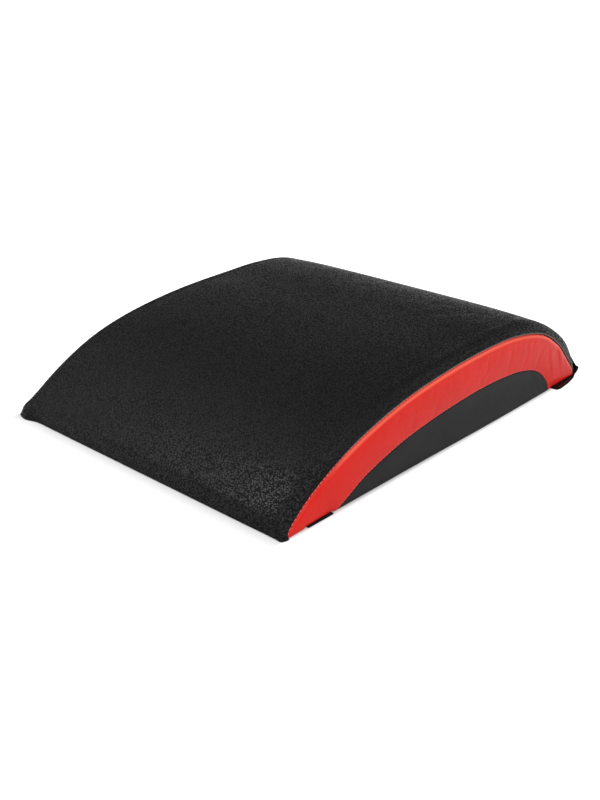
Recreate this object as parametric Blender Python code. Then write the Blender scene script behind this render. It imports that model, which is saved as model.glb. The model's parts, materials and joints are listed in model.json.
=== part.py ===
"""Ab mat: an arched foam core in a sewn leatherette cover, closed by a flap under its rear edge.

Metres, +Z up. The origin is at the middle of the footprint, on the surface that the mat lies on. The thin front
lip faces -Y, the steep rear faces +Y, and +X is the right side. In the side view, places are counted from the
front edge until the finished piece is moved to the origin.
"""

import math

import bmesh
import bpy
import numpy as np
from mathutils import Vector

# Driving dimensions
DEPTH = 0.400
WIDTH = 0.300
HEIGHT = 0.0800
SHELL = 0.0012
GAP = 0.0003

# Front lip
LIP_UNDER_RADIUS = 0.0015
LIP_UNDER_REACH = 0.0045
LIP_NOSE_RADIUS = 0.0100
LIP_NOSE_HEIGHT = 0.0081
LIP_CLEARANCE = 0.0003
LIP_SLOPE = 44.0
LIP_STATIONS = 4

# Top arch behind the lip, as shares of the depth and the height
ARCH_SHARES = (
    (0.0825, 0.461),
    (0.175, 0.683),
    (0.275, 0.832),
    (0.43, 0.9505),
    (0.5875, 0.9975),
    (0.6925, 0.992),
    (0.795, 0.932),
    (0.892, 0.752),
    (0.973, 0.430),
    (1.0, 0.222),
    (1.0015, 0.1625),
)
ARCH_STATIONS = 33
CROWN = 0.0020

# Seam between the black cover and the red band, as shares of the way between its ends and of the height
SEAM_SHARES = (
    (0.0, 0.010),
    (0.0015, 0.034),
    (0.0333, 0.172),
    (0.0961, 0.367),
    (0.1946, 0.567),
    (0.3364, 0.744),
    (0.4934, 0.8325),
    (0.6234, 0.8555),
    (0.7175, 0.837),
    (0.8203, 0.7445),
    (0.8772, 0.628),
    (0.9414, 0.397),
    (0.9784, 0.205),
    (0.9969, 0.105),
    (1.0, 0.050),
)
SEAM_ANGLE = 68.0
SEAM_STEPS = 4
EDGE_ROUND = 0.0166
EDGE_ROUND_FRONT = 0.0030
EDGE_ROUND_REAR = 0.0060
EDGE_TAPER_FRONT = 0.030
EDGE_TAPER_REAR = 0.050

# Seam between the red band and the black crescent, as shares of the way between its tips and of the height
CRESCENT_SHARES = (
    (0.0, 0.0),
    (0.037, 0.054),
    (0.098, 0.165),
    (0.161, 0.245),
    (0.258, 0.330),
    (0.3615, 0.389),
    (0.470, 0.430),
    (0.624, 0.459),
    (0.749, 0.450),
    (0.8385, 0.411),
    (0.932, 0.290),
    (0.988, 0.100),
    (1.0, 0.0),
)
CRESCENT_SETBACK = 0.0020
BAND_SPLIT_SHARES = (0.098, 0.930)

# Grip strip under the front edge
STRIP_FRONT = 0.0260
STRIP_LENGTH = 0.0265
STRIP_THICKNESS = 0.0010
STRIP_OVERHANG = 0.0005

# Closure flap, hinged at its sewn fold, and the two halves of its fastening
FLAP_SETBACK = 0.0050
FLAP_REACH = 0.0393
FLAP_THICKNESS = 0.0010
FLAP_OVERHANG = 0.0086
FLAP_OVERHANG_SHARES = ((0.0, 0.32), (0.14, 0.52), (0.5, 0.85), (0.9, 1.0), (0.97, 0.97), (1.0, 0.85))
TAPE_THICKNESS = 0.0005
TAPE_WIDTH = 0.0220
TAPE_SETBACK = 0.0070
TAPE_END_INSET = 0.0300

# Hem that carries the flap, as reach behind the depth and height. Its top edge drops towards its ends
HEM_THICKNESS = 0.0014
HEM_OVERHANG = 0.0012
HEM_TOP = (0.0022, 0.0155)
HEM_END_TOP = (0.0034, 0.0085)
HEM_TIP = (0.0040, 0.0056)
HEM_FOOT = (-0.0044, 0.0014)
HEM_DROP = 0.0180

# Underside
RAMP = 0.0035
BASE_CLEARANCE = 0.0010
RECESS_SHARE = 0.93

# Stitching
THREAD_RADIUS = 0.00035
HEM_THREAD_RADIUS = 0.00025
STITCH_INSET = 0.0024
HEM_STITCH_INSET = 0.0014

STRIP_LIFT = STRIP_THICKNESS + GAP
FLAP_LIFT = FLAP_THICKNESS + GAP
TAPE_LIFT = FLAP_THICKNESS + 2 * TAPE_THICKNESS + 3 * GAP
STRIP_REAR = STRIP_FRONT + STRIP_LENGTH
FLAP_HINGE = DEPTH - FLAP_SETBACK
FLAP_EDGE = FLAP_HINGE - FLAP_REACH
BASE_FRONT = LIP_UNDER_RADIUS + LIP_UNDER_REACH + BASE_CLEARANCE
BASE_REAR = FLAP_HINGE - BASE_CLEARANCE
SEAM_FRONT = BASE_FRONT - 2 * GAP
SEAM_REAR = FLAP_HINGE + GAP
CRESCENT_FRONT = STRIP_REAR + GAP + RAMP + CRESCENT_SETBACK
CRESCENT_REAR = FLAP_EDGE - GAP - RAMP - CRESCENT_SETBACK
MIDDLE = (DEPTH + HEM_TIP[0]) / 2
CORE_INSET = SHELL + GAP


def clear_scene():
    for item in list(bpy.data.objects):
        bpy.data.objects.remove(item)


def make_material(name, colour, roughness, metallic=0.0):
    material = bpy.data.materials.new(name)
    material.use_nodes = True
    shader = material.node_tree.nodes["Principled BSDF"]
    shader.inputs["Base Color"].default_value = (*colour, 1.0)
    shader.inputs["Roughness"].default_value = roughness
    shader.inputs["Metallic"].default_value = metallic
    return material


def unit(vector):
    return vector / np.linalg.norm(vector)


def arc(centre, radius, start, end, count):
    """Points round a centre, with angles in degrees."""
    angles = np.radians(np.linspace(start, end, count))
    return [np.array(centre) + radius * np.array([math.cos(a), math.sin(a)]) for a in angles]


def smooth(points, steps=16):
    """A centripetal curve through the points, finely sampled."""
    chain = [2 * points[0] - points[1], *points, 2 * points[-1] - points[-2]]
    fine = []
    for a, b, c, d in zip(chain, chain[1:], chain[2:], chain[3:]):
        t1 = math.sqrt(np.linalg.norm(b - a))
        t2 = t1 + math.sqrt(np.linalg.norm(c - b))
        t3 = t2 + math.sqrt(np.linalg.norm(d - c))
        for t in np.linspace(t1, t2, steps, endpoint=False):
            ab = (a * (t1 - t) + b * t) / t1
            bc = (b * (t2 - t) + c * (t - t1)) / (t2 - t1)
            cd = (c * (t3 - t) + d * (t - t2)) / (t3 - t2)
            abc = (ab * (t2 - t) + bc * t) / t2
            bcd = (bc * (t3 - t) + cd * (t - t1)) / (t3 - t1)
            fine.append((abc * (t2 - t) + bcd * (t - t1)) / (t2 - t1))
    return fine + [points[-1]]


def even(points, count):
    """The same line with its points at even steps of its length."""
    line = np.array(points)
    reached = np.concatenate([[0], np.cumsum(np.linalg.norm(np.diff(line, axis=0), axis=1))])
    marks = np.linspace(0, reached[-1], count)
    return [np.array([np.interp(m, reached, line[:, 0]), np.interp(m, reached, line[:, 1])]) for m in marks]


def beside(line, distance):
    """The line moved to its left by a distance, or to its right by a negative one."""
    moved = []
    for i, point in enumerate(line):
        before = unit(point - line[i - 1]) if i else unit(line[1] - point)
        after = unit(line[i + 1] - point) if i + 1 < len(line) else before
        left = unit(np.array([-before[1] - after[1], before[0] + after[0]]))
        moved.append(point + left * distance / (left @ np.array([-before[1], before[0]])))
    return moved


def scaled(shares, front=0.0, rear=DEPTH):
    """Side-view points from shares of the way from front to rear and of the height."""
    return [np.array([front + y * (rear - front), z * HEIGHT]) for y, z in shares]


def rise(distance):
    """From 0 to 1 along a ramp."""
    return min(1.0, max(0.0, distance / RAMP + 1))


def base_height(x, y):
    """Height of the underside: raised over the strip and the flap, and further over the fastening tapes."""
    over_strip = min(rise(y - STRIP_FRONT + GAP), rise(STRIP_REAR + GAP - y))
    over_flap = rise(y - FLAP_EDGE + GAP)
    outer = WIDTH / 2 - EDGE_ROUND
    inner = outer * RECESS_SHARE
    over_tape = min(1.0, max(0.0, (outer - abs(x)) / (outer - inner)))
    return STRIP_LIFT * over_strip + over_flap * (FLAP_LIFT + (TAPE_LIFT - FLAP_LIFT) * over_tape)


def strip_bends():
    front, rear = STRIP_FRONT - GAP, STRIP_REAR + GAP
    return [front - RAMP, front, rear, rear + RAMP]


def flap_bends():
    return [FLAP_EDGE - GAP - RAMP, FLAP_EDGE - GAP]


def base_places(start, end):
    """Places along the depth where the underside bends, between two ends."""
    return [start] + [bend for bend in strip_bends() + flap_bends() if start < bend < end] + [end]


class Side:
    """Stations along the mat: the top line, the seam beside it, and how far the edge is rounded there."""

    def __init__(self):
        lip = self.lip_line()
        arch = even(smooth([lip[-1], *scaled(ARCH_SHARES)]), ARCH_STATIONS)
        self.top = lip + arch[1:]
        self.seam = self.seam_points(len(lip))
        self.count = len(self.top)
        front, rear = self.ease(1, EDGE_TAPER_FRONT), self.ease(-1, EDGE_TAPER_REAR)
        self.round = EDGE_ROUND - (EDGE_ROUND - EDGE_ROUND_FRONT) * (1 - front)
        self.round -= (EDGE_ROUND - EDGE_ROUND_REAR) * (1 - rear)
        self.crown = CROWN * front * rear

    def lip_line(self):
        """The lip from its underside round its face to the start of the slope."""
        low = LIP_UNDER_RADIUS + LIP_CLEARANCE
        lower = arc((LIP_UNDER_RADIUS, low), LIP_UNDER_RADIUS, 270, 180, LIP_STATIONS)
        upper = arc((LIP_NOSE_RADIUS, LIP_NOSE_HEIGHT), LIP_NOSE_RADIUS, 180, 90 + LIP_SLOPE, LIP_STATIONS)
        start = np.array([LIP_UNDER_RADIUS + LIP_UNDER_REACH, LIP_CLEARANCE])
        return [start] + lower + upper

    def seam_points(self, lip_count):
        """A seam point for each station: straight inwards on the arch, in even steps on the lip."""
        fine = np.array(smooth(scaled(SEAM_SHARES, SEAM_FRONT, SEAM_REAR), 32))
        found = []
        for i in range(lip_count - 1, len(self.top)):
            last = min(i + 1, len(self.top) - 1)
            along = unit(self.top[last] - self.top[i - 1])
            found.append(int(np.argmin(np.abs((fine - self.top[i]) @ along))))
        lip = np.linspace(0, found[0], lip_count).round().astype(int)
        indexes = [*lip, *found[1:-1], len(fine) - 1]
        return [fine[i] for i in indexes]

    def ease(self, way, length):
        """For each station, from 0 at the front end, or at the rear end the other way, to 1 after a length."""
        steps = np.linalg.norm(np.diff(self.top[::way], axis=0), axis=1)
        share = np.clip(np.concatenate([[0], np.cumsum(steps)]) / length, 0, 1)[::way]
        return share * share * (3 - 2 * share)

    def inward(self, i):
        return unit(self.seam[i] - self.top[i])

    def full_depth(self, i):
        """Depth below the top line at which the rounded edge reaches the side."""
        return float(np.linalg.norm(self.seam[i] - self.top[i])) / (1 - math.cos(math.radians(SEAM_ANGLE)))

    def spot(self, i, place):
        """A point of the outer skin at a station. Places from -1 to 1 lie on the crowned top, and beyond that each
        degree over 1 turns the rounded edge further towards the side."""
        turn = max(0.0, abs(place) - 1)
        share = min(1.0, abs(place))
        angle = math.radians(turn)
        deep = self.full_depth(i) * (1 - math.cos(angle))
        deep += self.crown[i] * share**4 * max(0.0, 1 - turn / SEAM_ANGLE)
        y, z = self.top[i] + self.inward(i) * deep
        x = (WIDTH / 2 - self.round[i]) * share + self.round[i] * math.sin(angle)
        return Vector((math.copysign(x, place), y, z))

    def outward(self, i, place):
        """The outer skin's unit normal at a station."""
        step = 1e-3
        over = self.spot(i, place + step) - self.spot(i, place - step)
        last = min(i + 1, self.count - 1)
        along = self.spot(last, place) - self.spot(max(i - 1, 0), place)
        return over.cross(along).normalized()

    def grid(self, places, depth=0.0):
        """Rows of points from front to rear, each from left to right, at a depth under the outer skin."""
        rows = []
        for i in range(self.count):
            rows.append([self.spot(i, p) - self.outward(i, p) * depth for p in places])
        return rows


def places_across(*beyond):
    """Places from the left edge to the right edge: the flat top, the rounded edges, and angles beyond the seam."""
    seam = SEAM_ANGLE - math.degrees(GAP / 2 / EDGE_ROUND)
    turned = [1 + t for t in [*np.linspace(0, seam, SEAM_STEPS + 1)[1:], *beyond]]
    flats = [-1, -RECESS_SHARE, -0.5, 0, 0.5, RECESS_SHARE, 1]
    return [-t for t in reversed(turned)] + flats + turned


def mesh_object(name, points, faces, material):
    """A closed body, moved so that the origin lies under its middle."""
    mesh = bpy.data.meshes.new(name)
    mesh.from_pydata([Vector(p) - Vector((0, MIDDLE, 0)) for p in points], [], faces)
    shape = bmesh.new()
    shape.from_mesh(mesh)
    bmesh.ops.recalc_face_normals(shape, faces=shape.faces)
    shape.to_mesh(mesh)
    shape.free()
    mesh.shade_smooth()
    mesh.set_sharp_from_angle(angle=math.radians(35))
    mesh.materials.append(material)
    item = bpy.data.objects.new(name, mesh)
    bpy.context.scene.collection.objects.link(item)
    return item


def shell(name, outer, inner, material):
    """A closed body between two grids of the same size."""
    rows, columns = len(outer), len(outer[0])
    points = [p for row in outer for p in row] + [p for row in inner for p in row]
    under = rows * columns
    faces = []
    for i in range(rows - 1):
        for j in range(columns - 1):
            a = i * columns + j
            quad = (a, a + 1, a + 1 + columns, a + columns)
            faces.append(quad)
            faces.append(tuple(k + under for k in reversed(quad)))
    rim = [j for j in range(columns)]
    rim += [i * columns + columns - 1 for i in range(1, rows)]
    rim += [(rows - 1) * columns + j for j in range(columns - 2, -1, -1)]
    rim += [i * columns for i in range(rows - 2, 0, -1)]
    for a, b in zip(rim, rim[1:] + rim[:1]):
        faces.append((a, a + under, b + under, b))
    return mesh_object(name, points, faces, material)


def loft(name, loops, material):
    """A closed body through loops of the same count, with the first and the last as its ends."""
    count = len(loops[0])
    points = [p for loop in loops for p in loop]
    faces = [tuple(range(count)), tuple(reversed(range(len(points) - count, len(points))))]
    for start in range(0, len(points) - count, count):
        for i in range(count):
            a, b = start + i, start + (i + 1) % count
            faces.append((a, b, b + count, a + count))
    return mesh_object(name, points, faces, material)


def plate(name, outline, low, high, material):
    """A plan outline between two heights."""
    return loft(name, [[(x, y, z) for x, y in outline] for z in (low, high)], material)


def soften(item, width, segments=2):
    """Rounds the edges of a prism."""
    bevel = item.modifiers.new("Rounded edges", "BEVEL")
    bevel.width = width
    bevel.segments = segments
    bevel.limit_method = "ANGLE"
    bevel.angle_limit = math.radians(40)


def make_thread(name, path, radius, material):
    """One continuous sewing thread along a path."""
    curve = bpy.data.curves.new(name, "CURVE")
    curve.dimensions = "3D"
    curve.bevel_depth = radius
    curve.bevel_resolution = 0
    curve.use_fill_caps = True
    line = curve.splines.new("POLY")
    line.points.add(len(path) - 1)
    for point, place in zip(line.points, path):
        point.co = (*(Vector(place) - Vector((0, MIDDLE, 0))), 1.0)
    curve.materials.append(material)
    item = bpy.data.objects.new(name, curve)
    bpy.context.scene.collection.objects.link(item)
    return item


def make_foam(side, material):
    """The foam block fills the cover and stands on the base panel."""
    places = places_across(80, 90)
    skin = side.grid(places, CORE_INSET)
    widest = [p.x for p in skin[side.count // 2]]
    used = [row for row in skin if min(p.z - base_height(p.x, p.y) for p in row) > CORE_INSET + GAP]
    front = max(p.y for p in used[0]) + GAP
    rear = min(min(p.y for p in used[-1]), BASE_REAR) - GAP
    loops = []
    for j, x in enumerate(widest):
        under = [(x, y, base_height(x, y) + CORE_INSET) for y in base_places(front, rear)]
        loops.append([row[j] for row in used] + under[::-1])
    return loft("foam_core", loops, material)


def make_top_cover(side, material):
    places = places_across()
    return shell("top_cover", side.grid(places), side.grid(places, SHELL), material)


def band_feet(side):
    """Each station's lower end of the band: the underside, the crescent's seam, then the underside again."""
    ys = [p[0] for p in side.seam]
    front, rear = (int(np.argmin([abs(y - share * DEPTH) for y in ys])) for share in BAND_SPLIT_SHARES)
    seam = even(smooth(scaled(CRESCENT_SHARES, CRESCENT_FRONT, CRESCENT_REAR)), rear - front + 1)
    front_ys = [*np.linspace(side.seam[0][0] + SHELL, strip_bends()[0], front - 3), *strip_bends()[1:]]
    rear_ys = [flap_bends()[0], *np.linspace(flap_bends()[1], side.seam[-1][0] - GAP, side.count - rear - 2)]
    upper = beside(seam, GAP / 2)
    feet = [np.array([y, base_height(WIDTH / 2, y) + GAP]) for y in front_ys]
    feet += [np.array([y, max(z, base_height(WIDTH / 2, y) + GAP)]) for y, z in upper]
    feet += [np.array([y, base_height(WIDTH / 2, y) + GAP]) for y in rear_ys]
    return feet, seam


def skin_beside(side, i, spot):
    """Where the outer skin lies at a side-view point: its x, and its normal's parts sideways and outwards."""
    depth = float((spot - side.top[i]) @ side.inward(i))
    cosine = max(0.0, 1 - depth / side.full_depth(i))
    sine = math.sqrt(1 - cosine * cosine)
    x = WIDTH / 2 - side.round[i] * (1 - sine)
    flat = math.hypot(sine / side.round[i], cosine / side.full_depth(i))
    return x, sine / side.round[i] / flat, cosine / side.full_depth(i) / flat


def raised(side, i, spot, height, sign):
    """A point at a height over the outer skin, or under it where the height is negative."""
    x, sideways, outwards = skin_beside(side, i, spot)
    y, z = spot - side.inward(i) * outwards * height
    return Vector((sign * (x + sideways * height), y, z))


def band_column(side, i, foot):
    """Side-view points down the band at a station, closer together where the edge is rounded."""
    start = side.seam[i] + side.inward(i) * GAP
    span = float((foot - start) @ side.inward(i))
    rounded = side.full_depth(i) * math.cos(math.radians(SEAM_ANGLE))
    turned = min(0.5, rounded / span) if span > 0 else 0.5
    return [start + (foot - start) * mark for mark in (0, turned / 2, turned, (1 + turned) / 2, 1)]


def make_band(side, name, sign, feet, material):
    columns = [band_column(side, i, foot) for i, foot in enumerate(feet)]
    outer = [[raised(side, i, spot, 0, sign) for spot in column] for i, column in enumerate(columns)]
    inner = [[raised(side, i, spot, -SHELL, sign) for spot in column] for i, column in enumerate(columns)]
    return shell(name, outer, inner, material)


def make_crescent(name, sign, seam, material):
    """The flat panel inside the crescent's seam."""
    lower = beside(seam, -GAP / 2)
    floor = [base_height(WIDTH / 2, y) + GAP for y, _ in lower]
    arch = [p for p, z in zip(lower, floor) if p[1] > z + GAP]
    foot = base_places(arch[0][0], arch[-1][0])
    outline = arch + [np.array([y, base_height(WIDTH / 2, y) + GAP]) for y in reversed(foot)]
    sides = (sign * (WIDTH / 2 - SHELL), sign * WIDTH / 2)
    return loft(name, [[(x, y, z) for y, z in outline] for x in sides], material)


def make_base(material):
    """The panel under the foam, between the two sides."""
    edge = WIDTH / 2 - CORE_INSET
    outer = WIDTH / 2 - EDGE_ROUND
    xs = (-edge, -outer, -outer * RECESS_SHARE, outer * RECESS_SHARE, outer, edge)
    ys = base_places(BASE_FRONT, BASE_REAR)
    lower = [[Vector((x, y, base_height(x, y))) for x in xs] for y in ys]
    upper = [[p + Vector((0, 0, SHELL)) for p in row] for row in lower]
    return shell("base_panel", lower, upper, material)


def make_strip(material):
    half = WIDTH / 2 + STRIP_OVERHANG
    outline = [(-half, STRIP_FRONT), (half, STRIP_FRONT), (half, STRIP_REAR), (-half, STRIP_REAR)]
    item = plate("front_grip_strip", outline, 0, STRIP_THICKNESS, material)
    soften(item, STRIP_THICKNESS / 4)
    return item


def make_hem(material):
    """The folded band behind the foam: down over the cover's tail, out to its tip and back under."""
    half = WIDTH / 2 + HEM_OVERHANG
    loops = []
    for x, top in ((-half, HEM_END_TOP), (HEM_DROP - half, HEM_TOP), (half - HEM_DROP, HEM_TOP), (half, HEM_END_TOP)):
        outer = [np.array([DEPTH + reach, height]) for reach, height in (top, HEM_TIP, HEM_FOOT)]
        inner = beside(outer, -HEM_THICKNESS)
        loops.append([(x, y, z) for y, z in outer + inner[::-1]])
    item = loft("rear_hem", loops, material)
    soften(item, HEM_THICKNESS / 4)
    return item


def flap_edge_points():
    """The flap's right edge in plan, from the hinge to the free edge."""
    points = []
    for reach, overhang in FLAP_OVERHANG_SHARES:
        points.append(np.array([WIDTH / 2 + FLAP_OVERHANG * overhang, FLAP_HINGE - FLAP_REACH * reach]))
    return points


def make_flap(material):
    right = flap_edge_points()
    left = [np.array([-x, y]) for x, y in reversed(right)]
    item = plate("closure_flap", right + left, 0, FLAP_THICKNESS, material)
    soften(item, FLAP_THICKNESS / 4)
    return item


def make_tape(name, low, material):
    half = WIDTH / 2 - TAPE_END_INSET
    front = FLAP_EDGE + TAPE_SETBACK
    rear = front + TAPE_WIDTH
    outline = [(-half, front), (half, front), (half, rear), (-half, rear)]
    return plate(name, outline, low, low + TAPE_THICKNESS, material)


def top_stitch_path(side, feet, sign):
    """Along the red side of the upper seam, wherever the band is wide enough to carry it."""
    path = []
    for i, foot in enumerate(feet):
        spot = side.seam[i] + side.inward(i) * STITCH_INSET
        if float((foot - spot) @ side.inward(i)) > STITCH_INSET:
            path.append(raised(side, i, spot, GAP + THREAD_RADIUS, sign))
    return path


def crescent_stitch_path(seam, sign):
    """Along the red side of the crescent's seam."""
    x = sign * (WIDTH / 2 + GAP + THREAD_RADIUS)
    line = beside(seam, STITCH_INSET)
    return [(x, y, z) for y, z in line if z > base_height(WIDTH / 2, y) + STITCH_INSET]


def flap_stitch_path(sign):
    """Along the flap's end, inside its edge."""
    z = FLAP_THICKNESS + GAP + HEM_THREAD_RADIUS
    edge = flap_edge_points()[:4]
    return [(sign * (x - HEM_STITCH_INSET), y - GAP, z) for x, y in edge]


def hang(items, hinge):
    for item in items:
        item.parent = hinge
        item.location = -hinge.location


def make_hinge():
    """An empty on the flap's fold, which carries the flap and what is sewn to it."""
    hinge = bpy.data.objects.new("flap_hinge", None)
    hinge.location = (0, FLAP_HINGE - MIDDLE, FLAP_THICKNESS / 2)
    bpy.context.scene.collection.objects.link(hinge)
    return hinge


def main():
    clear_scene()
    grained = make_material("grained_black", (0.020, 0.020, 0.021), 0.45)
    smooth_black = make_material("smooth_black", (0.030, 0.030, 0.032), 0.5)
    red = make_material("red_leatherette", (0.68, 0.035, 0.028), 0.42)
    fabric = make_material("base_fabric", (0.016, 0.016, 0.017), 0.85)
    rubber = make_material("grip_rubber", (0.012, 0.012, 0.012), 0.7)
    foam = make_material("foam", (0.28, 0.28, 0.29), 0.9)
    tape = make_material("fastening_tape", (0.014, 0.014, 0.015), 0.9)
    red_thread = make_material("red_thread", (0.75, 0.10, 0.07), 0.6)
    black_thread = make_material("black_thread", (0.05, 0.05, 0.05), 0.6)

    side = Side()
    feet, crescent = band_feet(side)
    make_foam(side, foam)
    make_top_cover(side, grained)
    make_base(fabric)
    make_strip(rubber)
    make_hem(smooth_black)
    moving = [make_flap(smooth_black)]
    for hand, sign in (("right", 1), ("left", -1)):
        make_band(side, f"red_band_{hand}", sign, feet, red)
        make_crescent(f"side_crescent_{hand}", sign, crescent, smooth_black)
        make_thread(f"top_seam_thread_{hand}", top_stitch_path(side, feet, sign), THREAD_RADIUS, red_thread)
        path = crescent_stitch_path(crescent, sign)
        make_thread(f"crescent_seam_thread_{hand}", path, THREAD_RADIUS, red_thread)
        name = f"flap_hem_thread_{hand}"
        moving.append(make_thread(name, flap_stitch_path(sign), HEM_THREAD_RADIUS, black_thread))
    moving.append(make_tape("flap_hook_tape", FLAP_THICKNESS + GAP, tape))
    make_tape("base_loop_tape", TAPE_LIFT - GAP - TAPE_THICKNESS, tape)
    hang(moving, make_hinge())


main()
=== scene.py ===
"""The looks of an ab mat: a foam block in a sewn leatherette cover, closed by a flap under its rear edge.

Metres, +Z up, in the frame's own place. The thin front lip faces -Y and the steep rear faces +Y. In the
side view, places are counted from the front edge of the cover, as (distance behind it, height).
"""

import json
import math

import bmesh
import bpy
import numpy as np
from mathutils import Matrix, Vector


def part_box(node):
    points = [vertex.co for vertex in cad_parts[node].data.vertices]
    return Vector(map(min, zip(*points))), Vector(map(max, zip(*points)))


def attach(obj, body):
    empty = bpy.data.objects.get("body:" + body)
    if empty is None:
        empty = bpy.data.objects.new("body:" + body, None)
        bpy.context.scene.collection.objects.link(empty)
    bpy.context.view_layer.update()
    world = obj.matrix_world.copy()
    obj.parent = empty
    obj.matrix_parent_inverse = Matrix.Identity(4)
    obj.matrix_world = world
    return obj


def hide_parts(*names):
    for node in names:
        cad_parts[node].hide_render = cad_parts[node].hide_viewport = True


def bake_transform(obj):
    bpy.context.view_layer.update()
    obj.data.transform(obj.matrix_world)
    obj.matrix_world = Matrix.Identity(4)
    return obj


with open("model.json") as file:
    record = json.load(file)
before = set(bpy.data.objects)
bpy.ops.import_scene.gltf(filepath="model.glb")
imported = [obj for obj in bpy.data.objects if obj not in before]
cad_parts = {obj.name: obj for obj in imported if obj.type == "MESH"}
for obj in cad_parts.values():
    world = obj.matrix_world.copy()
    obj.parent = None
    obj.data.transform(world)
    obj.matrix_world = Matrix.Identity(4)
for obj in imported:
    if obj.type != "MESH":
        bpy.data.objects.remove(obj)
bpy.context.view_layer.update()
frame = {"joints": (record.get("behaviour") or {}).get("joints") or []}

# The mat's size, from the frame
FLAP_SETBACK = 0.0050
HINGE = Vector(next(j for j in frame["joints"] if j["name"] == "flap_fold")["pos_m"])
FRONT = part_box("top_cover")[0].y
DEPTH = HINGE.y + FLAP_SETBACK - FRONT
FOLD_LINE = DEPTH - FLAP_SETBACK
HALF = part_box("side_crescent_right")[1].x
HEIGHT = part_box("top_cover")[1].z

# Thickness of the leatherette, and the room left between neighbours
SHELL = 0.0012
GAP = 0.0003

# Foam block: its depth under the skin, its run along the top line, and degrees of its rounded edge
FOAM_INSET = 0.0030
FOAM_RUN = (0.03, 0.985)
FOAM_TURNS = (12, 30, 50, 68, 80, 90)

# Front lip
LIP_UNDER_RADIUS = 0.0010
LIP_UNDER_REACH = 0.0050
LIP_NOSE_RADIUS = 0.0100
LIP_NOSE_HEIGHT = 0.0081
LIP_SLOPE = 44.0
LIP_FORWARD = 0.0006

# Left corner of the lip, where the gathered leatherette stands forwards
EAR_PLACE = 0.1395
EAR_SPREAD = 0.0085
EAR_FORWARD = 0.0040
EAR_LENGTH = 0.0200

# Right corner of the lip, where the leatherette is folded over in a short upright crease
FOLD_PLACE = HALF - 0.0010
FOLD_SPREAD = 0.0022
FOLD_FORWARD = 0.0009
FOLD_OUT = 0.0008
FOLD_LENGTH = 0.0120
TUCK_OUT = 0.0020
TUCK_HEIGHT = 0.0036
TUCK_LENGTH = 0.0090

# Foot of each side, which stands out a little
FOOT_OUT = 0.0008
FOOT_OUT_FRONT = 0.0009
FOOT_FRONT_LENGTH = 0.0600
FOOT_BULGE = 0.0012
FOOT_BULGE_PLACE = 0.2700
FOOT_BULGE_SPREAD = 0.0900
FOOT_HEIGHT = 0.0300

# Top line behind the lip, as shares of the depth and the height
ARCH_SHARES = (
    (0.0825, 0.452), (0.175, 0.688), (0.275, 0.830), (0.43, 0.935), (0.5875, 0.972),
    (0.6925, 0.985), (0.795, 0.932), (0.892, 0.730), (0.973, 0.430), (1.0, 0.220),
    (1.0015, 0.162),
)
CROWN = 0.0021

# Seam between the black cover and the red band, as shares of the way between its ends and of the height
SEAM_FRONT = 0.0064
SEAM_REAR = FOLD_LINE + GAP
SEAM_SHARES = (
    (0.0, 0.010), (0.0015, 0.040), (0.033, 0.172), (0.096, 0.355), (0.195, 0.560),
    (0.336, 0.737), (0.493, 0.828), (0.623, 0.854), (0.718, 0.838), (0.820, 0.747),
    (0.877, 0.634), (0.941, 0.410), (0.978, 0.214), (0.997, 0.110), (1.0, 0.050),
)
SEAM_ANGLE = 69.0
EDGE_ROUND = 0.0136
EDGE_ROUND_FRONT = 0.0012
EDGE_ROUND_REAR = 0.0104
EDGE_TAPER_FRONT = 0.025
EDGE_TAPER_REAR = 0.087

# Seam round the black crescent, as shares of the way between its tips and of the height
CRESCENT_FRONT = 0.0583
CRESCENT_REAR = 0.3499
CRESCENT_SHARES = (
    (0.0, 0.0), (0.037, 0.060), (0.098, 0.163), (0.161, 0.235), (0.258, 0.320),
    (0.3615, 0.377), (0.470, 0.417), (0.624, 0.447), (0.749, 0.434), (0.8385, 0.397),
    (0.932, 0.287), (0.988, 0.107), (1.0, 0.0),
)
BAND_SPLIT_SHARES = (0.098, 0.930)

# Underside, which is raised over the strip, the flap and the fastening
RAMP = 0.0035
STRIP_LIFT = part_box("front_grip_strip")[1].z + GAP
FLAP_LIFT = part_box("closure_flap")[1].z + GAP
TAPE_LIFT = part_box("base_loop_tape")[1].z + GAP
STRIP_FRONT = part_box("front_grip_strip")[0].y - FRONT
STRIP_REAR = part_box("front_grip_strip")[1].y - FRONT
STRIP_HALF = HALF + 0.0026
FLAP_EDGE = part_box("closure_flap")[0].y - FRONT
RECESS_SHARE = 0.93
BASE_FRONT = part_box("base_panel")[0].y - FRONT
BASE_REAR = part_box("base_panel")[1].y - FRONT

# Edges where two panels are sewn together, and the highlights painted into the colour along them
BLACK_ROLL = 0.0007
RED_ROLL = 0.0026
RED_ROLL_REACH = 0.0048
CRESCENT_ROLL = 0.0008
FOOT_ROLL = 0.0004
SEAM_DEPTH = 0.0030
SEAM_HALF_GAP = 0.00012
# A light line painted into the black's colour along its rolled fold at the seam stands in for the
# highlight on the fold: its inset, spread and run
BLACK_HIGHLIGHT_INSET = 0.0004
BLACK_HIGHLIGHT_SPREAD = 0.0003
BLACK_HIGHLIGHT_RUN = (0.050, 0.080)
# A lighter band painted into the red's colour along its rolled upper edge stands in for the highlight
# there: its inset, spread and run
RED_HIGHLIGHT_INSET = 0.0022
RED_HIGHLIGHT_SPREAD = 0.0011
RED_HIGHLIGHT_RUN = (0.040, 0.080)

# Soft upright folds in the band below the rear shoulder
WRINKLE_PLACE = (0.364, 0.036)
WRINKLE_SPREAD = (0.018, 0.020)
WRINKLE_WAVES = ((0.0150, 0.8), (0.0090, 2.1))
WRINKLE_LEAN = 0.30
WRINKLE_DEPTH = 0.00030

# Faint slanting creases at the rear of the crescent
CREASE_PLACE = 0.332
CREASE_SPREAD = 0.012
CREASE_WAY = (0.8, 0.6)
CREASE_PITCH = 0.009
CREASE_DEPTH = 0.00010

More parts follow.
